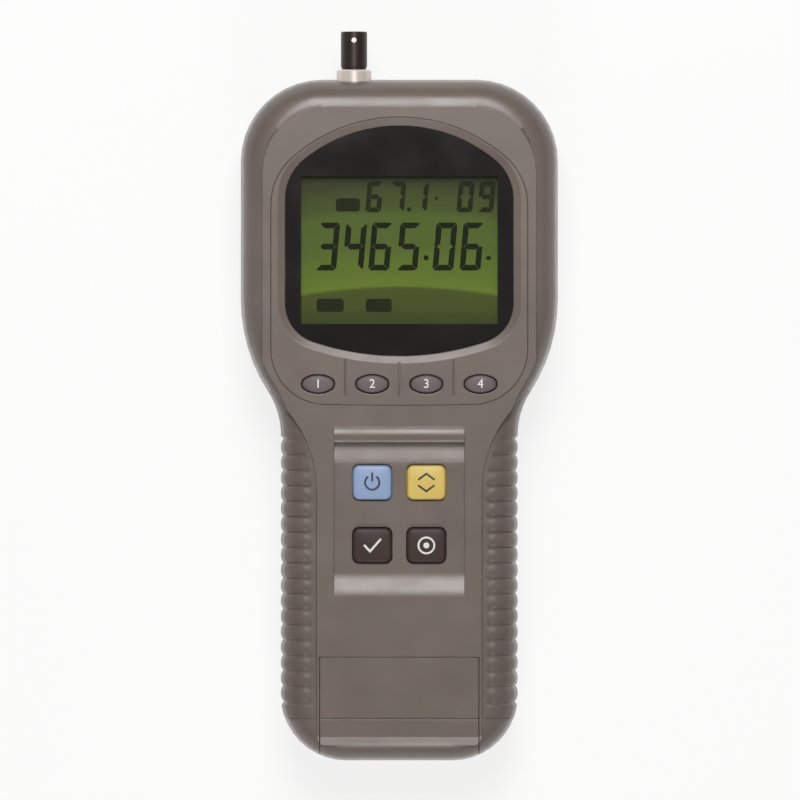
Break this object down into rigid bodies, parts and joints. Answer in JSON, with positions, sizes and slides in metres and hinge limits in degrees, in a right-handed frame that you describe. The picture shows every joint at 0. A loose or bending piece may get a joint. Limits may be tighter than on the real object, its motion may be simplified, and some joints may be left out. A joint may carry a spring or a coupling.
{
  "type": "handheld cable length meter",
  "caption": "Handheld time domain reflectometer: wide display head, ribbed hand grip, soft keys, sprung keypad, bayonet cable socket and sliding battery door.",
  "frame": {"origin": "on the flat back, under the middle of the case", "axes": "+Z out of the display, +Y along the case towards the cable socket, +X to the right seen from the front"},
  "size_m": [0.1164, 0.2674, 0.0462],
  "materials": {
    "case_plastic": "matt",
    "grip_rubber": "matt",
    "bezel_plastic": "satin",
    "seal_rubber": "matt",
    "black_foam": "matt",
    "window_glass": "glossy",
    "lcd": "glossy",
    "white_plastic": "satin",
    "clear_plastic": "glossy",
    "led": "glossy",
    "soft_key_rubber": "matt",
    "blue_key": "satin",
    "yellow_key": "satin",
    "dark_key": "satin",
    "silicone": "matt",
    "board": "satin",
    "chip_plastic": "matt",
    "black_plastic": "satin",
    "tray_plastic": "matt",
    "screw_steel": "satin",
    "dark_nickel": "satin",
    "bright_nickel": "satin",
    "gold_contact": "satin",
    "lead_skin": "satin",
    "battery_case": "satin"
  },
  "bodies": {
    "case": {"front_case": "case_plastic", "rear_case": "case_plastic", "case_seal": "seal_rubber", "left_grip": "grip_rubber", "right_grip": "grip_rubber", "case_screws": "screw_steel", "display_bezel": "bezel_plastic", "window_tape": "black_foam", "display_window": "window_glass", "lcd_glass": "lcd", "lcd_frame": "white_plastic", "light_guide": "clear_plastic", "backlight_leds": "led", "contact_strips": "seal_rubber", "soft_dome_1": "silicone", "soft_dome_2": "silicone", "soft_dome_3": "silicone", "soft_dome_4": "silicone", "power_dome": "silicone", "edit_dome": "silicone", "select_dome": "silicone", "test_dome": "silicone", "soft_key_mat": "silicone", "main_key_mat": "silicone", "main_board": "board", "board_chips": "chip_plastic", "board_screws": "screw_steel", "socket_body": "dark_nickel", "socket_insulator": "white_plastic", "socket_contact": "gold_contact", "socket_washer": "bright_nickel", "socket_nut": "bright_nickel", "socket_lead": "lead_skin", "battery_tray": "tray_plastic", "battery": "battery_case", "battery_studs": "screw_steel", "battery_snap": "black_plastic", "battery_leads": "lead_skin"},
    "door": {"battery_door": "case_plastic", "door_pad": "black_foam"},
    "soft_key_1": {"soft_key_1": "soft_key_rubber"},
    "soft_key_2": {"soft_key_2": "soft_key_rubber"},
    "soft_key_3": {"soft_key_3": "soft_key_rubber"},
    "soft_key_4": {"soft_key_4": "soft_key_rubber"},
    "power_key": {"power_key": "blue_key"},
    "edit_key": {"edit_key": "yellow_key"},
    "select_key": {"select_key": "dark_key"},
    "test_key": {"test_key": "dark_key"}
  },
  "joints": [
    {"name": "soft_key_1_press", "type": "slide", "parent": "case", "child": "soft_key_1", "axis": [0, 0, -1], "range_m": [0, 0.0006], "stiffness_N_per_m": 800, "deforming": ["soft_dome_1"]},
    {"name": "soft_key_2_press", "type": "slide", "parent": "case", "child": "soft_key_2", "axis": [0, 0, -1], "range_m": [0, 0.0006], "stiffness_N_per_m": 800, "deforming": ["soft_dome_2"]},
    {"name": "soft_key_3_press", "type": "slide", "parent": "case", "child": "soft_key_3", "axis": [0, 0, -1], "range_m": [0, 0.0006], "stiffness_N_per_m": 800, "deforming": ["soft_dome_3"]},
    {"name": "soft_key_4_press", "type": "slide", "parent": "case", "child": "soft_key_4", "axis": [0, 0, -1], "range_m": [0, 0.0006], "stiffness_N_per_m": 800, "deforming": ["soft_dome_4"]},
    {"name": "power_key_press", "type": "slide", "parent": "case", "child": "power_key", "axis": [0, 0, -1], "range_m": [0, 0.0012], "stiffness_N_per_m": 800, "deforming": ["power_dome"]},
    {"name": "edit_key_press", "type": "slide", "parent": "case", "child": "edit_key", "axis": [0, 0, -1], "range_m": [0, 0.0012], "stiffness_N_per_m": 800, "deforming": ["edit_dome"]},
    {"name": "select_key_press", "type": "slide", "parent": "case", "child": "select_key", "axis": [0, 0, -1], "range_m": [0, 0.0012], "stiffness_N_per_m": 800, "deforming": ["select_dome"]},
    {"name": "test_key_press", "type": "slide", "parent": "case", "child": "test_key", "axis": [0, 0, -1], "range_m": [0, 0.0012], "stiffness_N_per_m": 800, "deforming": ["test_dome"]},
    {"name": "door_slide", "type": "slide", "parent": "case", "child": "door", "axis": [0, -1, 0], "range_m": [0, 0.045]}
  ]
}
